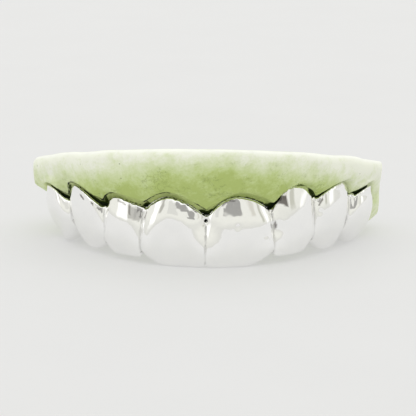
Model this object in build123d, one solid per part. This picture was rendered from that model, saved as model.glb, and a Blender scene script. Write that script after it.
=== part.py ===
from build123d import *
import math
import os
from collections import namedtuple

# An upper tooth cover of eight cast metal caps in one piece, on the stone cast it was made on.
# Millimetres. +Z runs from the biting edges to the gum, -Y is the front, +X is right in a front view.

# Metal cover
WALL = 0.6                 # thickness of the cast metal
LAP = 0.75                 # how far each cap runs past the point where two teeth touch
SEAT_CLEARANCE = 0.12      # between the metal and the stone teeth inside it
SEAT_EDGE = 0.25           # thinnest biting edge of a stone tooth inside it
RIM_FALL = 0.22            # how much lower the rim sits for each mm towards the tongue
MID_DIP = 7.2              # height of the rim between the two front caps
PINHOLE_RADIUS = 0.24      # the casting hole left between the two front caps
PINHOLE_BELOW_RIM = 0.75

# Row of teeth: the line on which neighbouring teeth touch, seen from above
ARCH_HALF_WIDTH = 27.0
ARCH_DEPTH = 31.0
ARCH_POWER = 2.3

# Stone cast. Depths are measured from the contact point of the two front teeth.
CAST_LEFT = 25.4           # flat sides, left and right of the middle
CAST_RIGHT = 25.8
CAST_BACK = 27.0           # flat back
CAST_TOP = 16.2            # height of the top face above that contact point
CAST_TILT = 15.0           # fall of the top face towards the back, in degrees
CAST_EDGE_RADIUS = 1.0
RIDGE_HEIGHT = 5.4         # lowest gum, behind the last tooth
GUM_GAP = 0.7              # groove between the metal rim and the gum
GUM_FRONT = 1.5            # gum between two teeth, in front of the contact line at the middle
GUM_SIDE = 4.8             # and at the flat sides
GUM_POWER = 3.0            # how late it grows from one to the other
GUM_BULGE = 2.7            # how far the gum face swells out above the rims
GUM_PROUD = 0.45           # how far the gum stands in front of a rim's peak
PALATE_THICKNESS = 2.6
VAULT_HALF_WIDTH = 18.6    # at its mouth
VAULT_FRONT = 4.6          # at its mouth
VAULT_DEPTH = 13.4         # from the roof to below the mouth
VAULT_PAST_BACK = 3.0      # from the flat back to the centre line of the vault's round outlines

# One row for each tooth, from the middle of the mouth to the back.
#   width        along the row, from one contact point to the next
#   depth        front to back
#   out          how far the tooth stands outside the contact line
#   peak         top of the rim above the biting plane
#   tip          lowest point above the biting plane
#   peak_shift   how far the rim's peak lies towards the back of the row
#   tip_shift    how far the cusp lies towards the middle of the mouth
#   corner       how strongly the outer biting corner is rounded, 1 is as in the table of forms
#   turn         extra turn, in degrees, that brings the back end of the tooth forward
#   dip          height of the rim at the contact point towards the back of the row
#   capped       whether the metal covers it
Tooth = namedtuple("Tooth", "form width depth out peak tip peak_shift tip_shift corner turn dip capped")
LEFT = [
    Tooth("central", 8.2, 6.6, 0.0, 9.9, 0.0, 1.0, 0.0, 1.0, 3.0, 8.0, True),
    Tooth("lateral", 6.1, 6.2, 0.0, 8.9, 0.8, 1.3, 0.0, 1.1, 0.0, 7.2, True),
    Tooth("canine", 7.2, 7.6, 0.0, 9.2, 0.6, 1.4, 1.0, 1.1, 0.0, 6.1, True),
    Tooth("premolar", 6.9, 8.6, 0.0, 8.3, 0.1, 1.6, 0.0, 1.0, 0.0, 6.2, True),
    Tooth("premolar", 6.6, 7.6, -1.8, 6.6, 0.3, 0.4, 0.0, 1.0, 0.0, 5.6, False),
]
RIGHT = [
    Tooth("central", 8.8, 6.6, 0.0, 9.9, 0.0, -0.4, 0.0, 1.25, 0.0, 8.0, True),
    Tooth("lateral", 6.7, 6.2, 0.0, 10.5, 1.1, 0.0, 0.0, 1.1, 0.0, 8.0, True),
    Tooth("canine", 7.5, 7.6, 0.0, 9.7, 0.5, 1.4, 0.5, 1.0, 0.0, 6.8, True),
    Tooth("premolar", 7.0, 8.6, 0.0, 8.4, 0.0, 1.6, 0.0, 1.0, 0.0, 6.2, True),
    Tooth("premolar", 6.6, 8.0, -0.5, 6.6, 1.5, 0.4, 0.0, 1.0, 0.0, 5.6, False),
    Tooth("premolar", 9.6, 9.6, 0.6, 6.6, 1.8, 0.4, 0.0, 1.0, 0.0, 5.6, False),
]

# Forms of the crowns, section by section. rise is a share of the height from tip to peak,
# inner and outer are shares of the half width towards the middle and the back of the row,
# front and back are shares of the tooth's depth in front of the contact line.
Section = namedtuple("Section", "rise inner outer front back")
FORMS = {
    "central": [
        Section(0.00, 0.90, 0.42, 0.430, 0.280),
        Section(0.03, 0.94, 0.53, 0.455, 0.235),
        Section(0.09, 0.97, 0.73, 0.475, 0.170),
        Section(0.18, 0.99, 0.93, 0.490, 0.070),
        Section(0.32, 1.00, 1.00, 0.500, -0.080),
        Section(0.47, 1.00, 1.00, 0.495, -0.220),
        Section(0.62, 1.00, 1.00, 0.480, -0.350),
        Section(0.77, 0.99, 0.98, 0.450, -0.450),
        Section(0.92, 0.97, 0.95, 0.405, -0.500),
        Section(1.10, 0.93, 0.91, 0.340, -0.510),
    ],
    "lateral": [
        Section(0.00, 0.88, 0.40, 0.430, 0.270),
        Section(0.03, 0.93, 0.50, 0.455, 0.225),
        Section(0.09, 0.96, 0.66, 0.475, 0.150),
        Section(0.18, 0.99, 0.85, 0.490, 0.050),
        Section(0.32, 1.00, 0.99, 0.500, -0.100),
        Section(0.47, 1.00, 1.00, 0.495, -0.240),
        Section(0.62, 1.00, 1.00, 0.485, -0.360),
        Section(0.77, 0.99, 0.98, 0.460, -0.460),
        Section(0.92, 0.97, 0.95, 0.420, -0.500),
        Section(1.10, 0.93, 0.91, 0.360, -0.510),
    ],
    "canine": [
        Section(0.00, 0.20, 0.24, 0.300, 0.110),
        Section(0.03, 0.40, 0.40, 0.330, 0.060),
        Section(0.09, 0.62, 0.56, 0.365, -0.010),
        Section(0.18, 0.83, 0.75, 0.405, -0.100),
        Section(0.32, 0.98, 0.94, 0.455, -0.230),
        Section(0.47, 1.00, 1.00, 0.485, -0.350),
        Section(0.62, 1.00, 1.00, 0.500, -0.440),
        Section(0.77, 0.99, 0.98, 0.490, -0.490),
        Section(0.92, 0.97, 0.95, 0.465, -0.505),
        Section(1.10, 0.93, 0.91, 0.420, -0.505),
    ],
    "premolar": [
        Section(0.00, 0.20, 0.20, 0.200, 0.060),
        Section(0.03, 0.38, 0.38, 0.235, 0.010),
        Section(0.09, 0.60, 0.58, 0.277, -0.020),
        Section(0.18, 0.80, 0.78, 0.330, -0.060),
        Section(0.32, 0.96, 0.96, 0.400, -0.180),
        Section(0.47, 1.00, 1.00, 0.453, -0.340),
        Section(0.62, 1.00, 1.00, 0.490, -0.440),
        Section(0.77, 0.98, 0.98, 0.495, -0.490),
        Section(0.92, 0.96, 0.96, 0.485, -0.505),
        Section(1.10, 0.92, 0.92, 0.450, -0.505),
    ],
    "tongue_cusp": [
        Section(0.12, 0.16, 0.16, -0.210, -0.340),
        Section(0.15, 0.32, 0.32, -0.160, -0.390),
        Section(0.22, 0.50, 0.50, -0.110, -0.430),
        Section(0.33, 0.68, 0.68, -0.070, -0.465),
        Section(0.46, 0.76, 0.76, -0.060, -0.470),
        Section(0.60, 0.76, 0.76, -0.060, -0.435),
        Section(0.72, 0.68, 0.68, -0.080, -0.370),
    ],
}
LOBES = {
    "central": ["central"],
    "lateral": ["lateral"],
    "canine": ["canine"],
    "premolar": ["premolar", "tongue_cusp"],
}
SECTION_POINTS = 16
FRONT_SQUARENESS = 2.7     # 2 is an ellipse, more is squarer
BACK_SQUARENESS = 2.1
RIM_POWER = 1.8            # curve of the rim from its peak to the dips
RIM_POINTS = 4             # on each side of the peak
RIM_FACE = 0.45            # share of the depth, in front of the contact line, where a peak is measured
DIP_FACE = 1.0             # the same for a dip, in mm
REACH = 10.0               # how far cutting shapes run past what they cut

# Gum face. height is a share of CAST_TOP, swell a share of GUM_BULGE.
GumSection = namedtuple("GumSection", "height swell")
GUM_SECTIONS = [
    GumSection(0.25, -0.11),
    GumSection(0.47, 0.00),
    GumSection(0.56, 0.33),
    GumSection(0.65, 0.67),
    GumSection(0.77, 0.89),
    GumSection(0.90, 1.00),
    GumSection(1.02, 0.93),
    GumSection(1.17, 0.44),
]
GUM_POINTS = 8             # on each side of the middle

# Swelling of the gum over each tooth. rise is a share of the way from the rim's peak to the top
# face, width a share of the tooth's width, stand a share of GUM_PROUD.
Swelling = namedtuple("Swelling", "rise width stand")
SWELLINGS = [
    Swelling(-0.60, 0.85, -0.7),
    Swelling(0.00, 1.00, 1.0),
    Swelling(0.35, 1.02, 1.45),
    Swelling(0.60, 0.95, 0.2),
    Swelling(0.82, 0.80, -2.9),
]

# Palate vault. below is a share of VAULT_DEPTH under the roof, width a share of VAULT_HALF_WIDTH,
# front a share of the way from VAULT_FRONT to the flat back.
VaultSection = namedtuple("VaultSection", "below width front")
VAULT_SECTIONS = [
    VaultSection(0.00, 0.59, 0.22),
    VaultSection(0.12, 0.78, 0.12),
    VaultSection(0.40, 0.93, 0.045),
    VaultSection(1.00, 1.00, 0.00),
]
VAULT_POINTS = 12


def arch_y(x):
    """Depth of the contact line at a distance x from the middle."""
    return ARCH_DEPTH * (abs(x) / ARCH_HALF_WIDTH) ** ARCH_POWER


def next_contact(x, width, side):
    """The x of the contact point one tooth further along the row."""
    near, far = 0.0, width
    while far - near > 1e-7:
        middle = (near + far) / 2
        end = x + side * middle
        if math.hypot(end - x, arch_y(end) - arch_y(x)) < width:
            near = middle
        else:
            far = middle
    return x + side * near


class Placed:
    """A tooth at its place in the row. Its plane has x along the row towards +X and y towards the tongue."""

    def __init__(self, tooth, start, side, inner_dip):
        end = next_contact(start, tooth.width, side)
        angle = math.atan2(side * (arch_y(end) - arch_y(start)), side * (end - start))
        angle -= side * math.radians(tooth.turn)
        along = Vector(math.cos(angle), math.sin(angle))
        back = Vector(-math.sin(angle), math.cos(angle))
        middle = Vector((start + end) / 2, (arch_y(start) + arch_y(end)) / 2)
        self.tooth = tooth
        self.side = side
        self.end = end
        self.plane = Plane(origin=middle - back * tooth.out, x_dir=along, z_dir=(0, 0, 1))
        self.dips = (tooth.dip, inner_dip) if side < 0 else (inner_dip, tooth.dip)


def place_row():
    """Every tooth at its place, each side from the middle of the mouth to the back."""
    placed = []
    for side, teeth in ((-1, LEFT), (1, RIGHT)):
        start, dip = 0.0, MID_DIP
        for tooth in teeth:
            placed.append(Placed(tooth, start, side, dip))
            start, dip = placed[-1].end, tooth.dip
    return placed


def outline(left, right, front, back):
    """Points round one section of a crown: a squared ellipse with its own width each way."""
    centre, half_depth = (front + back) / 2, (front - back) / 2
    points = []
    for k in range(SECTION_POINTS):
        turn = 2 * math.pi * (k + 0.5) / SECTION_POINTS
        c, s = math.cos(turn), math.sin(turn)
        power = 2 / (FRONT_SQUARENESS if s > 0 else BACK_SQUARENESS)
        x = (right if c > 0 else left) * math.copysign(abs(c) ** power, c)
        y = centre + half_depth * math.copysign(abs(s) ** power, s)
        points.append((x, -y))
    return points


def level_face(placed, points, height):
    """A level face inside a smooth closed curve through points of a tooth's plane."""
    points = [placed.plane.from_local_coords(Vector(x, y, height)) for x, y in points]
    return Face(Wire([Edge.make_spline(points, periodic=True)]))


def lobe(placed, form, inset):
    """One lofted lobe of a crown, drawn in by inset on every side."""
    tooth, side = placed.tooth, placed.side
    half = tooth.width / 2 + LAP - inset
    height = tooth.peak - tooth.tip
    least = SEAT_EDGE + 2 * (WALL + SEAT_CLEARANCE - inset) if inset > 0 else 0
    sections = []
    for section in FORMS[form]:
        inner, outer = half * section.inner, half * (1 - (1 - section.outer) * tooth.corner)
        left, right = (outer, inner) if side < 0 else (inner, outer)
        front = section.front * tooth.depth - inset
        back = section.back * tooth.depth + inset
        if front - back < least:
            front, back = (front + back + least) / 2, (front + back - least) / 2
        shift = -side * tooth.tip_shift * (1 - section.rise)
        points = [(x + shift, y) for x, y in outline(left, right, front, back)]
        level = tooth.tip + inset * (1 - section.rise) + section.rise * height
        sections.append(level_face(placed, points, level))
    return loft(sections)


def crown(placed, inset):
    """A tooth's crown, drawn in by inset on every side."""
    shapes = [lobe(placed, form, inset) for form in LOBES[placed.tooth.form]]
    return shapes[0].fuse(*shapes[1:]) if len(shapes) > 1 else shapes[0]


def below_rim(placed, lift):
    """Everything below a tooth's scalloped rim, raised by lift: a prism that falls towards the tongue."""
    tooth, side = placed.tooth, placed.side
    peak_x = side * tooth.peak_shift
    peak = tooth.peak - RIM_FALL * RIM_FACE * tooth.depth
    arms = []
    for way, dip in ((-1, placed.dips[0]), (1, placed.dips[1])):
        run = tooth.width / 2 - way * peak_x
        drop = peak - dip + RIM_FALL * DIP_FACE
        arm = [(peak_x + way * run * k / RIM_POINTS, peak - drop * (k / RIM_POINTS) ** RIM_POWER)
               for k in range(1, RIM_POINTS + 1)]
        slope = RIM_POWER * drop / run
        end = (arm[-1][0] + way * 2 * LAP, arm[-1][1] - slope * 2 * LAP)
        arms.append((arm, end))
    (left_arm, left_end), (right_arm, right_end) = arms
    rim = Spline(*left_arm[::-1], (peak_x, peak), *right_arm)
    corners = [rim @ 1, right_end, (right_end[0], -REACH), (left_end[0], -REACH), left_end, rim @ 0]
    plane = Plane(
        origin=placed.plane.from_local_coords(Vector(0, -REACH, lift + REACH * RIM_FALL)),
        x_dir=placed.plane.x_dir,
        z_dir=-placed.plane.y_dir,
    )
    way = placed.plane.y_dir - Vector(0, 0, RIM_FALL)
    return extrude(plane * make_face([rim, Polyline(*corners)]), amount=2 * REACH * way.length, dir=way)


def top_height(y):
    """Height of the cast's tilted top face at a depth y."""
    return CAST_TOP - math.tan(math.radians(CAST_TILT)) * y


def gum_outline(section):
    """Level outline of the gum, open to the back: the contact line pushed outwards."""
    height = section.height * CAST_TOP
    reach = max(CAST_LEFT, CAST_RIGHT)
    points = []
    for k in range(-GUM_POINTS, GUM_POINTS + 1):
        x = reach * k / GUM_POINTS
        slope = ARCH_POWER * arch_y(x) / x if x else 0
        out = GUM_FRONT + (GUM_SIDE - GUM_FRONT) * abs(x / reach) ** GUM_POWER + section.swell * GUM_BULGE
        length = math.hypot(1, slope)
        points.append(Vector(x + out * slope / length, arch_y(x) - out / length, height))
    back = 2 * CAST_BACK
    right_back, left_back = Vector(points[-1].X, back, height), Vector(points[0].X, back, height)
    corners = [points[-1], right_back, left_back, points[0]]
    straight = [Edge.make_line(start, end) for start, end in zip(corners, corners[1:])]
    return Face(Wire([Edge.make_spline(points), *straight]))


def gum_swelling(placed):
    """The gum's swelling over one tooth."""
    tooth = placed.tooth
    gum_height = top_height(placed.plane.origin.Y) - tooth.peak
    faces = []
    for section in SWELLINGS:
        half = tooth.width / 2 * section.width
        height = tooth.peak + gum_height * section.rise
        points = outline(half, half, RIM_FACE * tooth.depth + section.stand * GUM_PROUD, 0)
        faces.append(level_face(placed, points, height))
    return loft(faces)


def trimmed_block(bottom):
    """The space between the cast's flat sides, back and top, above bottom."""
    front = -CAST_BACK
    side_view = make_face(Polyline(
        (front, bottom), (front, top_height(front)), (CAST_BACK, top_height(CAST_BACK)), (CAST_BACK, bottom),
        close=True))
    return Pos(-CAST_LEFT, 0, 0) * extrude(Plane.YZ * side_view, amount=CAST_LEFT + CAST_RIGHT)


def vault():
    """The hollow of the palate, open to the back: half ellipses on planes parallel to the top face."""
    faces = []
    centre = CAST_BACK + VAULT_PAST_BACK
    for section in VAULT_SECTIONS:
        length = centre - VAULT_FRONT - section.front * (CAST_BACK - VAULT_FRONT)
        below = PALATE_THICKNESS + section.below * VAULT_DEPTH
        points = []
        for k in range(VAULT_POINTS + 1):
            turn = math.pi * k / VAULT_POINTS
            x = section.width * VAULT_HALF_WIDTH * math.cos(turn)
            y = centre - length * math.sin(turn)
            points.append(Vector(x, y, top_height(y) - below))
        faces.append(Face(Wire([Edge.make_spline(points), Edge.make_line(points[-1], points[0])])))
    return loft(faces)


def build_tooth_cover(capped):
    """The metal: the row of caps below its rim, hollowed to an even wall."""
    caps = [crown(placed, 0) & below_rim(placed, 0) for placed in capped]
    hollows = [crown(placed, WALL) for placed in capped]
    pinhole = Plane((0, -REACH, MID_DIP - PINHOLE_BELOW_RIM), z_dir=(0, 1, 0)) * Cylinder(
        PINHOLE_RADIUS, REACH, align=(Align.CENTER, Align.CENTER, Align.MIN))
    return caps[0].fuse(*caps[1:]).cut(*hollows, pinhole)


def build_stone_cast(row, capped):
    """The stone: gum block with a palate vault, the seats inside the caps, and the bare back teeth."""
    space = trimmed_block(RIDGE_HEIGHT)
    block = loft([gum_outline(section) for section in GUM_SECTIONS]) & space
    top = block.faces().sort_by(Axis.Z)[-1]
    rounded = [edge for edge in top.edges()
               if edge.center().Y < CAST_BACK - CAST_EDGE_RADIUS and edge.center().X < CAST_RIGHT - CAST_EDGE_RADIUS]
    block = fillet(rounded, CAST_EDGE_RADIUS)
    swellings = [gum_swelling(placed) for placed in row]
    swellings = swellings[0].fuse(*swellings[1:]) & space
    grooves = [below_rim(placed, GUM_GAP if placed.tooth.capped else 0) for placed in row]
    gum = block.fuse(swellings).cut(vault(), *grooves)

    teeth = [crown(placed, WALL + SEAT_CLEARANCE) for placed in capped]
    for before, placed in zip(row, row[1:]):
        if not placed.tooth.capped:
            bare = crown(placed, 0) & trimmed_block(0)
            teeth.append(bare.cut(crown(before, -SEAT_CLEARANCE)) if before.tooth.capped else bare)
    return gum.fuse(*teeth)


row = place_row()
capped = [placed for placed in row if placed.tooth.capped]
tooth_cover = build_tooth_cover(capped)
stone_cast = build_stone_cast(row, capped)

# The origin is under the middle of the whole, at the height of the biting edges.
whole = Compound([tooth_cover, stone_cast]).bounding_box()
to_origin = Pos(-whole.center().X, -whole.center().Y, -whole.min.Z)
os.makedirs("parts", exist_ok=True)
export_step(to_origin * tooth_cover, "parts/tooth_cover.step")
export_step(to_origin * stone_cast, "parts/stone_cast.step")
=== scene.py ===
import math

import bpy
import numpy as np
from mathutils import Matrix, Vector, noise
from mathutils.bvhtree import BVHTree
from mathutils.kdtree import KDTree


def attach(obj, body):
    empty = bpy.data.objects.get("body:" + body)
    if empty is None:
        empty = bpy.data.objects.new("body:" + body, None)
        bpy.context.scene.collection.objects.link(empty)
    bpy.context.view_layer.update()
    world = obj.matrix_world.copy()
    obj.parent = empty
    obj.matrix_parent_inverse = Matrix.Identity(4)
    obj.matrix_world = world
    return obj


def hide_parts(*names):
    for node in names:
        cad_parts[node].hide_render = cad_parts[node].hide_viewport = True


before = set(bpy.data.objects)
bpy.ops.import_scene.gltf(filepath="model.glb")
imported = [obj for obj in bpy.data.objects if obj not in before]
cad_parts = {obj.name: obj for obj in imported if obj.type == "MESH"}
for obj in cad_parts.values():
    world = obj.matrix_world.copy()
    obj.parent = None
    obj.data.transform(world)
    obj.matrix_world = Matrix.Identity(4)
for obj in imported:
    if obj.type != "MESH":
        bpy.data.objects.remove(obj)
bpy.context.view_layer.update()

# Lengths are in metres. Left and right are the picture's: x runs to the right, y to the back, z up.


# Nodes of a finish

class Reading:
    """A value, colour or vector on its way through the nodes of one finish."""

    def __init__(self, finish, socket):
        self.finish = finish
        self.socket = socket

    def __add__(self, other):
        return self.finish.math("ADD", self, other)

    def __radd__(self, other):
        return self.finish.math("ADD", other, self)

    def __sub__(self, other):
        return self.finish.math("SUBTRACT", self, other)

    def __rsub__(self, other):
        return self.finish.math("SUBTRACT", other, self)

    def __mul__(self, other):
        return self.finish.math("MULTIPLY", self, other)

    def __rmul__(self, other):
        return self.finish.math("MULTIPLY", other, self)


class Finish:
    """The nodes of one material, or of the studio round the part."""

    def __init__(self, tree):
        self.tree = tree
        tree.nodes.clear()

    def node(self, kind, settings=None, sockets=None, output=0):
        """Add one node: its settings first, then the values or links of its sockets."""
        made = self.tree.nodes.new(kind)
        for name, setting in (settings or {}).items():
            if name == "stops":
                self._set_stops(made.color_ramp, setting)
            else:
                setattr(made, name, setting)
        for name, value in (sockets or {}).items():
            if isinstance(value, Reading):
                self.tree.links.new(value.socket, made.inputs[name])
            else:
                made.inputs[name].default_value = value
        return Reading(self, made.outputs[output]) if len(made.outputs) else None

    def _set_stops(self, ramp, stops):
        while len(ramp.elements) > 1:
            ramp.elements.remove(ramp.elements[-1])
        ramp.elements[0].position, ramp.elements[0].color = stops[0]
        for position, colour in stops[1:]:
            ramp.elements.new(position).color = colour

    def place(self):
        """Where each point lies on the piece, in metres."""
        return self.node("ShaderNodeTexCoord", output="Object")

    def parts(self, vector):
        """The x, y and z of a vector."""
        split = self.node("ShaderNodeSeparateXYZ", sockets={0: vector})
        return [Reading(self, socket) for socket in split.socket.node.outputs]

    def mark(self, name):
        """A value kept on the points of the mesh."""
        return self.node("ShaderNodeAttribute", {"attribute_name": name}, output="Fac")

    def math(self, operation, *values):
        return self.node("ShaderNodeMath", {"operation": operation}, dict(enumerate(values)))

    def between(self, value, low, high):
        """0 below low, 1 above high, eased between; the other way round if high is the lower."""
        return self.node("ShaderNodeMapRange", {"interpolation_type": "SMOOTHSTEP"},
                         {"Value": value, "From Min": low, "From Max": high})

    def ramp(self, value, stops):
        return self.node("ShaderNodeValToRGB", {"stops": stops}, {0: value})

    def mix(self, share, first, second):
        """The first colour where share is 0, the second where it is 1."""
        return self.node("ShaderNodeMix", {"data_type": "RGBA"},
                         {0: share, 6: first, 7: second}, output=2)

    def lit(self, colour, light):
        """The colour made lighter by a factor."""
        return self.node("ShaderNodeVectorMath", {"operation": "SCALE"}, {0: colour, "Scale": light})

    def moved(self, place, by):
        return self.node("ShaderNodeVectorMath", {"operation": "ADD"}, {0: place, 1: by})

    def stretched(self, place, by):
        return self.node("ShaderNodeVectorMath", {"operation": "MULTIPLY"}, {0: place, 1: by})

    def turned(self, place, degrees):
        """The place turned about the axis that runs from front to back."""
        return self.node("ShaderNodeVectorRotate", {"rotation_type": "Y_AXIS"},
                         {"Vector": place, "Angle": math.radians(degrees)})

    def noise(self, place, size, detail=3.0, roughness=0.5):
        """Cloudy noise, with blobs of about that size."""
        return self.node("ShaderNodeTexNoise", sockets={
            "Vector": place, "Scale": 1 / size, "Detail": detail, "Roughness": roughness})

    def lines(self, place, size, width):
        """Thin wandering lines, 1 along them and 0 between."""
        off = self.math("ABSOLUTE", self.noise(place, size, detail=6, roughness=0.6) - 0.5)
        return self.between(off, low=width, high=0.0)

    def pores(self, place, spacing, size):
        """Small round holes, 1 inside them; size is a share of their spacing."""
        off = self.node("ShaderNodeTexVoronoi", {"feature": "F1"}, {"Vector": place, "Scale": 1 / spacing})
        return self.between(off, low=size * 1.6, high=size * 0.6)

    def bump(self, height, depth, strength):
        return self.node("ShaderNodeBump", sockets={
            "Strength": strength, "Distance": depth, "Height": height})

    def surface(self, sockets):
        shader = self.node("ShaderNodeBsdfPrincipled", sockets=sockets)
        self.node("ShaderNodeOutputMaterial", sockets={0: shader})


def new_material(name):
    material = bpy.data.materials.new(name)
    material.use_nodes = True
    return material, Finish(material.node_tree)


# Meshes of the two pieces

def points_of(mesh):
    flat = np.empty(len(mesh.vertices) * 3)
    mesh.vertices.foreach_get("co", flat)
    return flat.reshape(-1, 3)


def normals_of(mesh):
    flat = np.empty(len(mesh.vertices) * 3)
    mesh.vertex_normals.foreach_get("vector", flat)
    return flat.reshape(-1, 3)


def move_points(mesh, points):
    mesh.vertices.foreach_set("co", points.ravel())
    mesh.update()


def keep(mesh, name, values):
    """Keep a value for each point, for the finish to read."""
    mesh.attributes.new(name, "FLOAT", "POINT").data.foreach_set("value", values)


def neighbours(mesh):
    """The point at each end of every edge, both ways round."""
    ends = np.empty(len(mesh.edges) * 2, int)
    mesh.edges.foreach_get("vertices", ends)
    first, second = ends.reshape(-1, 2).T
    return np.concatenate([first, second]), np.concatenate([second, first])


def averaged(mesh, values, rounds):
    """The values evened out between neighbouring points."""
    here, there = neighbours(mesh)
    count = 1 + np.bincount(here, minlength=len(values))
    for _ in range(rounds):
        values = (values + np.bincount(here, values[there], len(values))) / count
    return values


def hollowness(mesh):
    """How deep each point lies in a crease, as a share of the mean edge."""
    points, normals = points_of(mesh), normals_of(mesh)
    here, there = neighbours(mesh)
    ways = points[there] - points[here]
    count = np.bincount(here, minlength=len(points))
    total = np.stack([np.bincount(here, way, len(points)) for way in ways.T], 1)
    return (total / count[:, None] * normals).sum(1) / np.linalg.norm(ways, axis=1).mean()


def recast(node, name, mesh_size, rounds):
    """An evenly meshed copy of a CAD solid with its edges softened. It takes the solid's place."""
    piece = bpy.data.objects.new(name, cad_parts[node].data.copy())
    bpy.context.scene.collection.objects.link(piece)
    remesh = piece.modifiers.new("mesh", "REMESH")
    remesh.mode = "VOXEL"
    remesh.voxel_size = mesh_size
    soften = piece.modifiers.new("soften", "SMOOTH")
    soften.factor = 0.5
    soften.iterations = rounds
    ready = bpy.data.meshes.new_from_object(piece.evaluated_get(bpy.context.evaluated_depsgraph_get()))
    piece.modifiers.clear()
    piece.data = ready
    piece.data.name = name
    piece.data.shade_smooth()
    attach(piece, "root")
    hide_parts(node)
    return piece


def dress(piece, material):
    piece.data.materials.clear()
    piece.data.materials.append(material)


# Measures along the row and round the solids

# The row of caps as the CAD lays it out
ARCH_MIDDLE = (-0.0002, -0.01139)
ARCH_HALF_WIDTH = 0.027
ARCH_DEPTH = 0.031
ARCH_POWER = 2.3


def ease(values, low, high):
    """0 below low, 1 above high, eased between."""
    share = np.clip((values - low) / (high - low), 0, 1)
    return share * share * (3 - 2 * share)


def along_row(x, table):
    """A table's columns read off at each x: one list for each column after the first."""
    place, *columns = np.array(table).T
    return [np.interp(x, place, column) for column in columns]


def arch_face(points):
    """How far each point stands in front of the row's contact line, and which way is outwards there."""
    x = points[:, 0] - ARCH_MIDDLE[0]
    shares = np.abs(x) / ARCH_HALF_WIDTH
    slope = np.sign(x) * ARCH_POWER * ARCH_DEPTH / ARCH_HALF_WIDTH * shares ** (ARCH_POWER - 1)
    length = np.hypot(1, slope)
    outwards = np.stack([slope / length, -1 / length, np.zeros(len(x))], 1)
    in_front = (ARCH_MIDDLE[1] + ARCH_DEPTH * shares ** ARCH_POWER - points[:, 1]) / length
    return in_front, outwards


def distances(node, points):
    """How far each point is from the surface of a CAD solid."""
    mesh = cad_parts[node].data
    tree = BVHTree.FromPolygons([v.co for v in mesh.vertices], [p.vertices for p in mesh.polygons])
    return np.array([tree.find_nearest(point)[3] for point in points])


# Sides, the same in both pieces

# Far shoulders of canines and laterals: how far they move out along the row, and where on each side of
# the middle the move comes in and fades
SHOULDERS = [
    (0.0009, (0.0176, 0.0196), (0.0204, 0.0228)),
    (0.000405, (0.0112, 0.0134), (0.0142, 0.0164)),
]
SHOULDER_HEIGHTS = (0.0040, 0.0078)
SHOULDER_BACK = (0.0095, 0.0150)

# The left premolar narrows downwards
NARROWED_BY = 0.0009
NARROWED_FROM = 0.0085
NARROWED_REACH = (0.0205, 0.0228)


def side_moves(points):
    """How far the shoulders of canines and laterals move out along the row, and the left premolar in."""
    x, z = points[:, 0], points[:, 2]
    outwards = arch_face(points)[1]
    along = np.stack([-outwards[:, 1], outwards[:, 0], np.zeros(len(x))], 1) * np.sign(x)[:, None]
    far = sum(out * ease(np.abs(x), *comes_in) * (1 - ease(np.abs(x), *fades))
              for out, comes_in, fades in SHOULDERS)
    far *= ease(z, *SHOULDER_HEIGHTS) * (1 - ease(points[:, 1], *SHOULDER_BACK))
    moves = along * far[:, None]
    moves[:, 0] += NARROWED_BY * np.clip(1 - z / NARROWED_FROM, 0, 1) * ease(-x, *NARROWED_REACH)
    return moves


# Shape of the caps

# The front face of a cap: how far it rolls in at the rim and bulges below that, the waves of polishing,
# and over which distances from the rim, the row's line and the stone all this comes in
ROLL_IN = 0.00027
ROLL_BULGE = 0.00013
WAVE_SIZE = 0.0022
WAVE_HEIGHT = 0.000009
WAVES_BELOW_RIM = (0.0004, 0.0018)
FACE_IN_FRONT = (0.0002, 0.0015)
FACE_OFF_STONE = (0.00035, 0.00055)

# Along the row: how far down from the rim a cap rolls in, and how strongly
ROLLS = [
    (-0.0240, 0.0030, 0.8),
    (-0.0200, 0.0024, 0.4),
    (-0.0188, 0.0026, -0.4),
    (-0.0165, 0.0030, -0.6),
    (-0.0150, 0.0030, -0.3),
    (-0.0139, 0.0034, 0.8),
    (-0.0110, 0.0042, 1.0),
    (-0.0083, 0.0050, 1.6),
    (-0.0071, 0.0036, 1.3),
    (-0.0055, 0.0026, 1.1),
    (-0.0036, 0.0026, 1.1),
    (-0.0019, 0.0034, 1.2),
    (-0.0002, 0.0044, 1.4),
    (0.0016, 0.0050, 1.2),
    (0.0040, 0.0064, 1.2),
    (0.0066, 0.0060, 1.2),
    (0.0086, 0.0056, 1.3),
    (0.0110, 0.0052, 1.6),
    (0.0126, 0.0046, 1.0),
    (0.0140, 0.0036, 0.3),
    (0.0152, 0.0036, 0.5),
    (0.0180, 0.0034, 0.8),
    (0.0240, 0.0030, 0.8),
]

# Along the row: how far the rim stands above or below the rim of the CAD, and how far down that fades
RIM_LIFTS = [
    (-0.0235, 0.0),
    (-0.0222, 0.00015),
    (-0.0211, 0.00025),
    (-0.0203, 0.00020),
    (-0.0195, 0.00034),
    (-0.0188, 0.00030),
    (-0.0180, 0.00006),
    (-0.0162, -0.00020),
    (-0.0148, -0.00018),
    (-0.0138, 0.0),
    (-0.0125, 0.00010),
    (-0.0107, -0.00015),
    (-0.0089, -0.00012),
    (-0.0075, 0.0),
    (-0.0055, 0.00006),
    (-0.0019, -0.00006),
    (0.0004, 0.00010),
    (0.0020, 0.00030),
    (0.0036, 0.00016),
    (0.0050, 0.00008),
    (0.0069, 0.0),
    (0.0084, -0.00026),
    (0.0093, 0.0),
    (0.0098, 0.00030),
    (0.0104, 0.00056),
    (0.0115, 0.00056),
    (0.0127, 0.00036),
    (0.0134, 0.00056),
    (0.0141, 0.00086),
    (0.0148, 0.00078),
    (0.0153, 0.00030),
    (0.0158, 0.00010),
    (0.0169, 0.00025),
    (0.0184, 0.00038),
    (0.0196, 0.00042),
    (0.0203, 0.00062),
    (0.0207, 0.00050),
    (0.0212, 0.0),
]
RIM_REACH = (0.0003, 0.0022)

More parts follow.
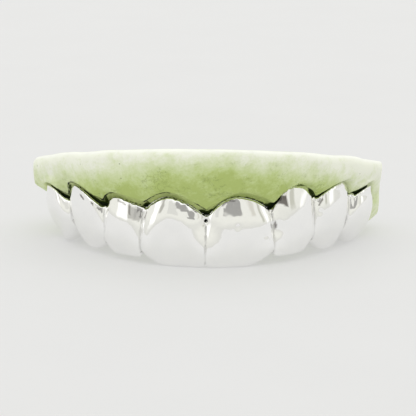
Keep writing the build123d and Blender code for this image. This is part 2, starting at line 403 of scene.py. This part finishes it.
# Dents of the polished face: x, z, half width, half height and depth
DENTS = [
    (0.01008, 0.00507, 0.00085, 0.00150, 0.00009),
    (0.01611, 0.00653, 0.00050, 0.00070, 0.00008),
    (0.01945, 0.00843, 0.00050, 0.00050, 0.00002),
    (0.02094, 0.00506, 0.00045, 0.00060, 0.00003),
    (0.00390, 0.00890, 0.00050, 0.00070, 0.00003),
    (0.00426, 0.00583, 0.00055, 0.00070, 0.00003),
    (0.00818, 0.00426, 0.00050, 0.00040, 0.00003),
    (-0.00980, 0.00627, 0.00045, 0.00060, 0.00003),
]

# Dark patches of the polished face, painted reflections of dark things: how dark, and their corners as x
# and z, anticlockwise; then their edge
PAINTED_REFLECTIONS = [
    (0.90, [(0.00975, 0.00835), (0.01140, 0.00800), (0.01120, 0.00905), (0.01052, 0.00915)]),
    (0.85, [(0.00941, 0.00560), (0.00951, 0.00505), (0.00976, 0.00510), (0.00980, 0.00565),
            (0.00955, 0.00618)]),
    (0.80, [(0.00914, 0.00742), (0.00930, 0.00746), (0.00962, 0.00804), (0.00948, 0.00816)]),
    (0.85, [(0.01576, 0.00746), (0.01594, 0.00742), (0.01656, 0.00814), (0.01642, 0.00830)]),
    (0.55, [(0.00202, 0.00852), (0.00218, 0.00842), (0.00284, 0.00898), (0.00270, 0.00914)]),
    (0.55, [(0.00272, 0.00904), (0.00392, 0.00918), (0.00382, 0.00934), (0.00330, 0.00942)]),
    (0.42, [(-0.01115, 0.00634), (-0.00955, 0.00597), (-0.00925, 0.00670), (-0.00935, 0.00750),
            (-0.01128, 0.00820)]),
    (0.70, [(-0.01262, 0.00832), (-0.01160, 0.00802), (-0.01148, 0.00816), (-0.01256, 0.00850)]),
    (0.95, [(-0.01814, 0.00820), (-0.01768, 0.00780), (-0.01758, 0.00794), (-0.01802, 0.00836)]),
    (0.95, [(-0.01656, 0.00780), (-0.01622, 0.00750), (-0.01612, 0.00764), (-0.01644, 0.00794)]),
    (0.95, [(-0.01560, 0.00714), (-0.01514, 0.00676), (-0.01504, 0.00690), (-0.01548, 0.00728)]),
]
PAINTED_REFLECTION_EDGE = (-0.00009, 0.00004)

# Seams between the caps: how hollow a crease is, and how far below the rim it starts to show
SEAM_HOLLOW = (0.015, 0.09)
SEAM_BELOW_RIM = (0.0004, 0.0008)


def below_rim(points, normals, in_front):
    """How far each point is from the nearest point of the rim on the front of the caps."""
    faces_up = normals[:, 2] > 0.8
    above_tips = points[:, 2] > 0.004
    on_front = in_front > 0.0005
    rim = points[faces_up & above_tips & on_front]
    tree = KDTree(len(rim))
    for k, point in enumerate(rim):
        tree.insert(point, k)
    tree.balance()
    return np.array([tree.find(point)[2] for point in points])


def rolls(x, below):
    """How far the front face stands out: it bulges a little, and rolls in towards the rim."""
    reach, strength = along_row(x, ROLLS)
    share = np.clip(below / reach, 0, 2)
    near_rim = ROLL_BULGE - (ROLL_BULGE + ROLL_IN) * (1 - share) ** 2
    further_down = ROLL_BULGE * (1 - ease(share, 1, 2))
    return np.where(share < 1, near_rim, further_down) * strength


def waves_and_dents(points, below):
    """How far the front face stands out by the slight waves of polishing and its shallow dents."""
    heights = np.array([noise.noise(Vector(point) / WAVE_SIZE) for point in points]) * WAVE_HEIGHT
    heights *= ease(below, *WAVES_BELOW_RIM)
    for x, z, half_width, half_height, depth in DENTS:
        off = ((points[:, 0] - x) / half_width) ** 2 + ((points[:, 2] - z) / half_height) ** 2
        heights -= depth * np.clip(1 - off, 0, 1) ** 2
    return heights


def painted_reflections(points):
    """How dark the painted reflections on the front face are at each point, with soft edges."""
    dark = np.zeros(len(points))
    for strength, corners in PAINTED_REFLECTIONS:
        inside = np.full(len(points), strength)
        for (x0, z0), (x1, z1) in zip(corners, corners[1:] + corners[:1]):
            run = math.hypot(x1 - x0, z1 - z0)
            off = ((points[:, 0] - x0) * (z0 - z1) + (points[:, 2] - z0) * (x1 - x0)) / run
            inside = np.minimum(inside, strength * ease(off, *PAINTED_REFLECTION_EDGE))
        dark = np.maximum(dark, inside)
    return dark


def shape_caps(piece):
    """Roll the caps in towards their rim, lift the rim, and give the polished face its waves and dents."""
    points, normals = points_of(piece.data), normals_of(piece.data)
    x = points[:, 0]
    in_front, outwards = arch_face(points)
    below = averaged(piece.data, below_rim(points, normals, in_front), rounds=9)
    front = ease(in_front, *FACE_IN_FRONT)
    face = ease(distances("stone_cast", points), *FACE_OFF_STONE) * front
    keep(piece.data, "seam", ease(hollowness(piece.data), *SEAM_HOLLOW) * ease(below, *SEAM_BELOW_RIM))
    # Dark patches painted onto the front face as reflections of dark things
    keep(piece.data, "tarnish", painted_reflections(points) * face)
    moved = points + outwards * ((rolls(x, below) + waves_and_dents(points, below)) * face)[:, None]
    moved[:, 2] += along_row(x, RIM_LIFTS)[0] * (1 - ease(below, *RIM_REACH)) * front
    move_points(piece.data, moved + side_moves(points))


# Finish of the caps

SILVER = (0.945, 0.945, 0.94, 1)
WARM_SILVER = (0.985, 0.98, 0.965, 1)
PAINTED_REFLECTION_DARK = (0.12, 0.105, 0.095, 1)
SEAM_GREY = (0.43, 0.425, 0.41, 1)


def polished_metal():
    """Cast silver, polished by hand: a slight warm haze, fine scratches, dirt in the seams, and dark
    patches painted in as reflections.
    """
    material, finish = new_material("polished_metal")
    place = finish.place()
    haze = finish.noise(place, size=0.0016, detail=4)
    scratches = finish.noise(finish.stretched(place, by=(1, 1, 0.12)), size=0.00025)
    seam = finish.mark("seam")
    tone = finish.mix(haze, SILVER, WARM_SILVER)
    # Painted reflections: dark patches laid into the silver's colour
    tone = finish.mix(finish.mark("tarnish"), tone, PAINTED_REFLECTION_DARK)
    finish.surface({
        "Base Color": finish.mix(seam * (0.3 + haze * 0.6), tone, SEAM_GREY),
        "Metallic": 1.0,
        "Roughness": 0.035 + haze * 0.03 + scratches * 0.02 + seam * 0.25,
        "Normal": finish.bump(scratches, depth=0.00002, strength=0.03),
    })
    return material


# Shape of the stone

# Along the row: how far the gum stands above or below the gum of the CAD, and how far that reaches from
# the metal and in front of the row's line
GUM_LIFTS = [
    (-0.0225, 0.0),
    (-0.0214, 0.00010),
    (-0.0204, 0.00005),
    (-0.0193, 0.0),
    (-0.0178, 0.0),
    (-0.0164, -0.00026),
    (-0.0148, -0.00024),
    (-0.0136, 0.0),
    (0.0090, 0.0),
    (0.0098, 0.00030),
    (0.0104, 0.00052),
    (0.0115, 0.00052),
    (0.0125, 0.00024),
    (0.0132, 0.0),
]
GUM_REACH = (0.0010, 0.0045)
GUM_IN_FRONT = (0.0, 0.0015)

# The bare left premolar is trimmed flat, and the corner of the block above it hangs lower
TRIM_LEFT = -0.0232
TRIM_HEIGHTS = (0.0062, 0.0085)
CORNER_DROP = 0.0008
CORNER_REACH = (0.0226, 0.0246)
CORNER_HEIGHTS = (0.0092, 0.0125)

# Relief of the stone: its size and height, how it fades in from the metal, and for its noise how fast the
# finer layers weaken, their step in size and their number
RELIEF_SIZE = 0.003
RELIEF_HEIGHT = 0.00004
RELIEF_OFF_METAL = (0.0004, 0.001)
RELIEF_LAYERS = (1.0, 2.0, 3)

# The top of the cast: its tilt, the way it faces, and how far up it lies that way
CAST_TILT = math.radians(15)
CAST_TOP_WAY = (0, math.sin(CAST_TILT), math.cos(CAST_TILT))
CAST_TOP = 0.0127

# The part of the stone that faces up, painted a darker green as shade, and the edge round it, painted pale
# as a highlight
FACES_UP = (0.96, 0.995)
EDGE_FACES = (0.25, 0.8)
EDGE_OFF_METAL = (0.0015, 0.003)

# Where two caps meet, and how far the wedge of painted shade in the groove runs to the left and to the
# right
CONTACTS = [
    (-0.0195, 0.0036, 0.0008),
    (-0.0141, 0.0036, 0.0006),
    (-0.0085, 0.0006, 0.0007),
    (-0.0002, 0.0012, 0.0011),
    (0.0091, 0.0012, 0.0026),
    (0.0149, 0.0024, 0.0022),
    (0.0204, 0.0005, 0.0036),
]


def wedges(x):
    """1 where two caps meet, fading to both sides."""
    wedge = np.zeros(len(x))
    for middle, to_left, to_right in CONTACTS:
        off = x - middle
        wedge = np.maximum(wedge, np.clip(1 - np.maximum(-off / to_left, off / to_right), 0, 1))
    return wedge


def weather_stone(piece):
    """Roughen the stone, lift the gum with the rim, trim the left side, and mark what the finish reads."""
    points, normals = points_of(piece.data), normals_of(piece.data)
    x, z = points[:, 0], points[:, 2]
    to_metal = distances("tooth_cover", points)
    relief = np.array([noise.fractal(Vector(point) / RELIEF_SIZE, *RELIEF_LAYERS) for point in points])
    relief *= RELIEF_HEIGHT * ease(to_metal, *RELIEF_OFF_METAL)
    moved = points + normals * relief[:, None]
    gum = (1 - ease(to_metal, *GUM_REACH)) * ease(arch_face(points)[0], *GUM_IN_FRONT)
    moved[:, 2] += along_row(x, GUM_LIFTS)[0] * gum
    moved[:, 2] -= CORNER_DROP * ease(-x, *CORNER_REACH) * (1 - ease(z, *CORNER_HEIGHTS))
    moved[:, 0] += np.clip(TRIM_LEFT - x, 0, None) * (1 - ease(z, *TRIM_HEIGHTS))
    move_points(piece.data, moved + side_moves(points))

    # Up-facing faces get a mark for painted shade, and the rounded edge round them one for a painted
    # highlight
    facing = normals @ np.array(CAST_TOP_WAY)
    top = ease(facing, *FACES_UP)
    keep(piece.data, "to_metal", to_metal)
    keep(piece.data, "top", top)
    keep(piece.data, "edge", ease(facing, *EDGE_FACES) * (1 - top) * ease(to_metal, *EDGE_OFF_METAL))
    keep(piece.data, "wedge", wedges(x))


# Finish of the stone

# Colours of the stone, from pale to full green, the pale end standing in as painted light, and of what
# marks it
STONE_GREENS = [
    (0.0, (0.94, 0.96, 0.84, 1)),
    (0.40, (0.75, 0.82, 0.54, 1)),
    (0.78, (0.59, 0.695, 0.31, 1)),
    (1.0, (0.48, 0.585, 0.195, 1)),
]
PAINTED_EDGE_HIGHLIGHT = (0.95, 0.96, 0.90, 1)
VEIN_GREEN = (0.20, 0.27, 0.06, 1)
PORE_PAINTED_SHADE = (0.20, 0.24, 0.10, 1)
OLIVE = (0.74, 0.83, 0.37, 1)
LINE_BLACK = (0.015, 0.02, 0.006, 1)
GROOVE_PAINTED_SHADE = (0.028, 0.048, 0.002, 1)
GROOVE_BOTTOM_PAINTED_SHADE = (0.004, 0.012, 0.0006, 1)

# Where the green comes in, down from the top edge, how much lower that is at the sides, and where it pales
# again towards both sides and the far right; this paling is painted light
GREEN_DOWN = (-0.0002, 0.0050)
SIDES_LOWER = 0.0008
SIDES_LOWER_REACH = (0.005, 0.014)
SIDES_PALE = (0.014, 0.023)
RIGHT_PALE = (0.017, 0.024)

# Painted light and shade in the groove along the metal, and a thin line by it, by the distances from the
# metal between which each comes in
OLIVE_BAND = (0.00080, 0.00062)
LINE_NEAR_SIDE = (0.00056, 0.00063)
LINE_FAR_SIDE = (0.00092, 0.00082)
GROOVE = (0.00018, 0.00006)
GROOVE_BOTTOM = (0.00018, 0.00005)

# How ragged these marks are, how much wider the painted shade of the groove and its bottom is in a
# wedge, and how much wider the groove is all along the right half
RAGGEDNESS = 0.00030
GROOVE_WEDGE = 0.00050
BOTTOM_WEDGE = 0.00030
GROOVE_RIGHT = 0.00012

# Where along the row the halves meet, the thin line ends on the left, and the wider groove on the right
HALVES = (-0.0010, 0.0010)
LINE_END = (0.0222, 0.0212)
GROOVE_RIGHT_END = (0.0202, 0.0192)


def stone_green(finish, place, patch, streaks, grain):
    """How green the stone is: least at the top edge and the sides, as painted light, most over the middle
    teeth, cloudy; faces that point up are painted greener, as painted shade.
    """
    x, y, z = finish.parts(place)
    side = finish.math("ABSOLUTE", x)
    below_top = CAST_TOP - y * math.sin(CAST_TILT) - z * math.cos(CAST_TILT)
    below_edge = below_top - finish.between(side, *SIDES_LOWER_REACH) * SIDES_LOWER
    downwards = finish.between(below_edge, *GREEN_DOWN)
    sidewards = finish.between(side, *SIDES_PALE)
    far_right = finish.between(x, *RIGHT_PALE)
    cloud = finish.noise(place, size=0.0050, detail=5, roughness=0.6)
    clouds = (cloud - 0.5) * 0.75 + (patch - 0.5) * 0.75 + (streaks - 0.5) * 0.5 + (grain - 0.5) * 0.4
    # Paler toward the top edge and the sides is painted light; up-facing faces are painted greener as
    # shade
    return downwards * (1 - sidewards * 0.35) - far_right * 0.2 + finish.mark("top") * 0.62 + clouds


def painted_light_and_shade_along_metal(finish, place, tone):
    """The tone with what is painted along the metal: a lighter olive band, a painted light against the
    groove's shade, a thin broken line along it on the left half, and the groove painted dark as shade,
    which widens into a wedge where two caps meet."""
    x = finish.parts(place)[0]
    right_half = finish.between(x, *HALVES)
    ragged = finish.mark("to_metal") + (finish.noise(place, size=0.0006) - 0.5) * RAGGEDNESS
    wedge = finish.mark("wedge")

    # Painted light: the groove band is painted a lighter olive against its shade
    band = finish.between(ragged, *OLIVE_BAND) * (0.5 - right_half * 0.35)
    tone = finish.mix(band, tone, OLIVE)

    line = finish.between(ragged, *LINE_NEAR_SIDE) * finish.between(ragged, *LINE_FAR_SIDE)
    line = line * finish.between(finish.math("ABSOLUTE", x), *LINE_END) * (1 - right_half)
    elsewhere = finish.moved(place, by=(0, 0, 0.05))
    unbroken = finish.between(finish.noise(elsewhere, size=0.0008), low=0.42, high=0.50)
    tone = finish.mix(line * (0.5 + unbroken * 0.5), tone, LINE_BLACK)

    # Painted shade: the groove along the metal is painted dark green, wider in a wedge where two caps
    # meet, and black at its bottom
    wider = wedge * GROOVE_WEDGE + right_half * finish.between(x, *GROOVE_RIGHT_END) * GROOVE_RIGHT
    tone = finish.mix(finish.between(ragged - wider, *GROOVE), tone, GROOVE_PAINTED_SHADE)
    bottom = finish.between(ragged - wedge * wedge * BOTTOM_WEDGE, *GROOVE_BOTTOM)
    return finish.mix(bottom, tone, GROOVE_BOTTOM_PAINTED_SHADE)


def green_stone():
    """Dental stone: cloudy green, painted pale along the top edge as a highlight, with fine cracks, pores
    painted dark as shade, and the groove along the metal painted dark as shade."""
    material, finish = new_material("green_stone")
    place = finish.place()
    rising = finish.stretched(finish.turned(place, degrees=24), by=(0.3, 1, 1))
    falling = finish.stretched(finish.turned(place, degrees=-33), by=(0.4, 1, 1))
    elsewhere = finish.moved(place, by=(0.03, 0.01, 0))
    patch = finish.noise(elsewhere, size=0.0022, detail=4, roughness=0.65)
    streaks = finish.noise(rising, size=0.0009, detail=4, roughness=0.7)
    grain = finish.noise(place, size=0.00035, detail=4, roughness=0.7)
    green = stone_green(finish, place, patch, streaks, grain)
    tone = finish.ramp(green, STONE_GREENS)
    # Painted highlight: the rounded edge round the top of the stone is painted pale
    tone = finish.mix(finish.mark("edge") * (0.45 + patch * 0.6), tone, PAINTED_EDGE_HIGHLIGHT)

    cracks = finish.math("MAXIMUM", finish.lines(rising, size=0.0040, width=0.007),
                         finish.lines(falling, size=0.0028, width=0.006))
    vein = cracks * finish.between(finish.noise(place, size=0.003, detail=2), low=0.47, high=0.57)
    tone = finish.mix(vein * finish.between(green, low=0.2, high=0.7) * 0.45, tone, VEIN_GREEN)
    # Painted shade: the pores are painted dark green inside
    pore = finish.pores(place, spacing=0.0017, size=0.055)
    tone = finish.mix(pore * 0.6, tone, PORE_PAINTED_SHADE)

    relief = patch * 0.5 + grain * 0.6 - vein * 0.5 - pore * 1.5
    finish.surface({
        "Base Color": painted_light_and_shade_along_metal(finish, place, tone),
        "Roughness": 0.62 + grain * 0.2,
        "Specular IOR Level": 0.2,
        "Normal": finish.bump(relief, depth=0.00008, strength=0.5),
    })
    return material


# Floor

PAPER = (0.30, 0.30, 0.298, 1)
PAPER_FLECK = (0.32, 0.32, 0.318, 1)
PAPER_GLOW = (1, 1, 0.99, 1)
PAPER_LIGHT = 0.44


def floor_paper():
    """The pale sheet of a light table, with a little glow of its own."""
    material, finish = new_material("floor_paper")
    grain = finish.noise(finish.place(), size=0.02, detail=4)
    finish.surface({
        "Base Color": finish.mix(grain, PAPER, PAPER_FLECK),
        "Roughness": 0.9,
        "Emission Color": PAPER_GLOW,
        "Emission Strength": PAPER_LIGHT,
    })
    return material


# Studio

# The tent's colour from the floor, 0, to straight overhead, 1
TENT_TONES = [
    (0.0, (0.72, 0.72, 0.68, 1)),
    (0.10, (0.86, 0.86, 0.80, 1)),
    (0.36, (0.86, 0.86, 0.81, 1)),
    (0.42, (1, 1, 1, 1)),
]

# The lamp overhead: the heights in degrees between which it comes in, and how much light it adds
LAMP_HEIGHTS = (33, 46)
LAMP_LIGHT = 0.30

# Cards hung in the tent, seen from the part: turn from the front to the right, and height above the floor,
# both from and to in degrees, then the colour, how strongly it covers, and how soft its edge is
CARDS = [
    (-30, -12, 13, 34, (0.70, 0.70, 0.66), 0.8, 1.0),
    (-12, 15, 27.5, 36, (0.36, 0.355, 0.34), 0.95, 0.8),
    (11, 30, 20, 30, (0.36, 0.355, 0.34), 0.95, 0.8),
    (5, 31, 15.5, 21, (0.36, 0.355, 0.34), 0.95, 0.8),
    (-54, -46, 17, 42, (0.40, 0.39, 0.35), 0.8, 1.5),
    (-80, -58, 4, 60, (1.3, 1.3, 1.28), 0.8, 3.0),
    (42, 50, 14, 27, (0.62, 0.60, 0.53), 0.7, 2.0),
    (36, 56, 31, 41, (0.09, 0.07, 0.055), 0.95, 0.8),
    (64, 74, 6, 36, (0.46, 0.46, 0.38), 0.7, 2.0),
    (84, 100, 2, 50, (1.3, 1.3, 1.28), 0.7, 3.0),
    (106, 114, 8, 30, (0.58, 0.58, 0.54), 0.6, 2.0),
    (-152, -138, 8, 22, (0.34, 0.34, 0.33), 0.8, 1.5),
    (-112, -78, 40, 46, (0.06, 0.055, 0.05), 0.9, 1.0),
]

# Dark strips that hang in front of the lamp, given in the same way
LAMP_STRIPS = [
    (-68, -24, 44, 49, (0.06, 0.055, 0.05), 0.9, 1.0),
    (24, 66, 44, 49, (0.06, 0.055, 0.05), 0.9, 1.0),
]


def studio_tent():
    """A pale tent round the part, with a lamp overhead and a few cards hung in it."""
    world = bpy.data.worlds.new("studio_tent")
    world.use_nodes = True
    bpy.context.scene.world = world
    finish = Finish(world.node_tree)
    right, back, up = finish.parts(finish.node("ShaderNodeTexCoord", output="Generated"))
    rise = finish.math("ARCSINE", up)
    height = rise * (180 / math.pi)
    turn = finish.math("ARCTAN2", right, 0 - back) * (180 / math.pi)

    tone = finish.ramp(rise * (2 / math.pi), TENT_TONES)
    lamp = finish.between(height, *LAMP_HEIGHTS)
    for card in CARDS + LAMP_STRIPS:
        left_turn, right_turn, low, high, shade, cover, soft = card
        inside = (finish.between(turn, left_turn - soft, left_turn + soft)
                  * finish.between(turn, right_turn + soft, right_turn - soft)
                  * finish.between(height, low - soft, low + soft)
                  * finish.between(height, high + soft, high - soft))
        tone = finish.mix(inside * cover, tone, (*shade, 1))
        if card in LAMP_STRIPS:
            lamp = lamp * (1 - inside * cover)
    light = finish.node("ShaderNodeBackground", sockets={"Color": finish.lit(tone, 1 + lamp * LAMP_LIGHT)})
    finish.node("ShaderNodeOutputWorld", sockets={0: light})


# Making

studio_tent()

metal = recast("tooth_cover", "metal_caps", mesh_size=0.00019, rounds=5)
shape_caps(metal)
dress(metal, polished_metal())

stone = recast("stone_cast", "dental_stone", mesh_size=0.00025, rounds=6)
weather_stone(stone)
dress(stone, green_stone())

bpy.ops.mesh.primitive_plane_add(size=40.0, location=(0, 0, 0))
floor = bpy.context.object
floor.name = "floor"
floor.data.materials.append(floor_paper())

# Camera as the photograph was taken
TARGET = Vector((-0.0002, -0.01389, 0.008))
LOOKS_DOWN = math.radians(12.5)
ROLL = math.radians(0.7)
AWAY = 0.300
SENSOR = 36
FOCAL_PIXELS = 2160
FRAME_PIXELS = 416
SHIFT_PIXELS = (2, 4)
ahead = Vector((0, math.cos(LOOKS_DOWN), -math.sin(LOOKS_DOWN)))
level = Vector((1, 0, 0))
upright = level.cross(ahead)
to_right = level * math.cos(ROLL) + upright * math.sin(ROLL)
to_top = upright * math.cos(ROLL) - level * math.sin(ROLL)
lens = bpy.data.cameras.new("camera")
lens.sensor_width = SENSOR
lens.lens = FOCAL_PIXELS / FRAME_PIXELS * SENSOR
lens.shift_x = SHIFT_PIXELS[0] / FRAME_PIXELS
lens.shift_y = SHIFT_PIXELS[1] / FRAME_PIXELS
lens.clip_start = 0.01
camera = bpy.data.objects.new("camera", lens)
bpy.context.scene.collection.objects.link(camera)
stance = Matrix((to_right, to_top, -ahead)).transposed().to_4x4()
camera.matrix_world = Matrix.Translation(TARGET - ahead * AWAY) @ stance
bpy.context.scene.camera = camera
bpy.context.scene.view_settings.view_transform = "Standard"
